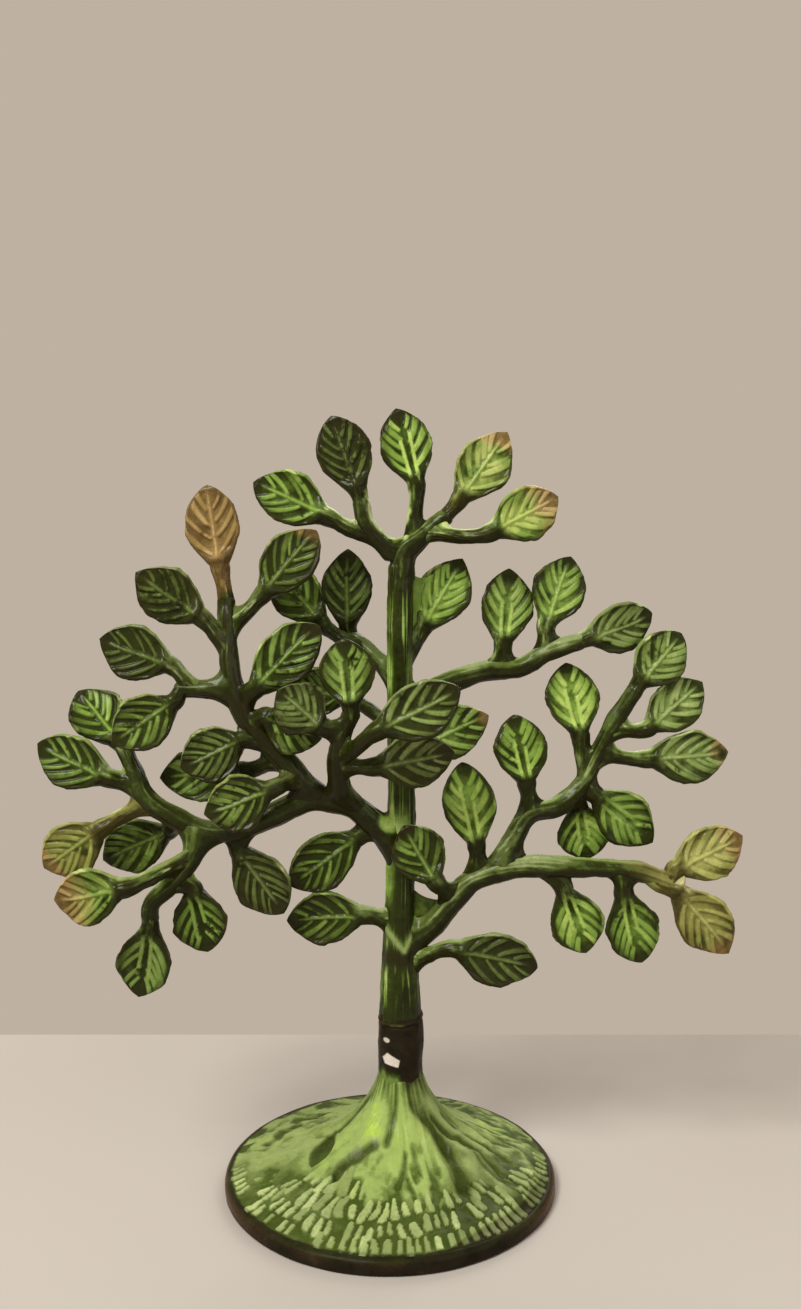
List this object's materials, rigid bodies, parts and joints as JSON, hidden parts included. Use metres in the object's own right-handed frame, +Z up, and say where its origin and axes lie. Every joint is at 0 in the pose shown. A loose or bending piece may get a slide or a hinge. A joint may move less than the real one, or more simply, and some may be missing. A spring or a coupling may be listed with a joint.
{
  "type": "clay tree of life ornament",
  "caption": "Table-top clay tree on a round slab: a root mound, a dark neck collar, a straight trunk, curved limbs and a crown of cupped veined leaves.",
  "frame": {"origin": "centre of the slab's flat underside, on the resting surface", "axes": "+Z up along the trunk, -Y towards the front of the tree as displayed, +X to the viewer's right"},
  "size_m": [0.2686, 0.127, 0.2992],
  "materials": {
    "mossy_base": "painted clay, yellow-green brushed over dark green, satin",
    "dark_rim": "painted dark brown-black, glossy varnish",
    "dark_bark": "painted clay, dark green with lighter green brushed on the ridges",
    "leaf_green": "painted clay, green dry-brushed over near-black, satin",
    "worn_tan": "painted clay worn to a tan ground colour, satin",
    "rod_steel": "plain steel rod, hidden inside the trunk's foot"
  },
  "bodies": {
    "root": {"base_plinth": "dark_rim", "root_mound": "mossy_base", "neck_collar": "dark_rim", "trunk": "dark_bark", "trunk_rod": "rod_steel", "crown_fork": "dark_bark", "upper_right_limb": "dark_bark", "back_limb": "dark_bark", "lower_right_limb": "dark_bark", "rising_right_limb": "dark_bark", "lower_left_limb": "dark_bark", "left_droop_limb": "dark_bark", "upper_left_limb": "dark_bark", "left_twig": "dark_bark", "front_limb": "dark_bark", "back_leaf_1": "leaf_green", "back_leaf_2": "leaf_green", "back_limb_leaves": "leaf_green", "crown_left_leaf_1": "leaf_green", "crown_left_leaf_2": "leaf_green", "crown_right_leaf_1": "leaf_green", "crown_right_leaf_2": "leaf_green", "crown_right_leaf_3": "leaf_green", "far_right_leaves": "leaf_green", "front_leaf_1": "leaf_green", "front_leaf_2": "leaf_green", "front_leaf_3": "leaf_green", "front_leaf_4": "leaf_green", "inner_left_leaves": "leaf_green", "left_droop_leaf_1": "worn_tan", "left_droop_leaf_2": "leaf_green", "left_droop_leaf_3": "leaf_green", "left_tip_leaves": "leaf_green", "left_twig_leaves": "leaf_green", "lower_left_leaf_1": "worn_tan", "lower_left_leaf_2": "leaf_green", "lower_left_leaf_3": "leaf_green", "lower_left_leaf_4": "leaf_green", "lower_right_leaf_1": "leaf_green", "lower_right_leaf_2": "leaf_green", "lower_right_leaf_3": "leaf_green", "lower_right_leaf_4": "leaf_green", "right_tip_leaves": "worn_tan", "rising_inner_leaves": "leaf_green", "rising_right_leaf_1": "leaf_green", "rising_right_leaf_2": "leaf_green", "rising_right_leaf_3": "leaf_green", "trunk_leaf_1": "leaf_green", "trunk_leaf_2": "leaf_green", "trunk_leaf_3": "leaf_green", "upper_left_leaf_1": "worn_tan", "upper_left_leaf_2": "leaf_green", "upper_left_leaf_3": "leaf_green", "upper_left_leaf_4": "leaf_green", "upper_left_leaf_5": "leaf_green", "upper_left_leaf_6": "leaf_green", "upper_right_leaf_1": "leaf_green", "upper_right_leaf_2": "leaf_green", "upper_right_leaf_3": "leaf_green"}
  },
  "joints": []
}
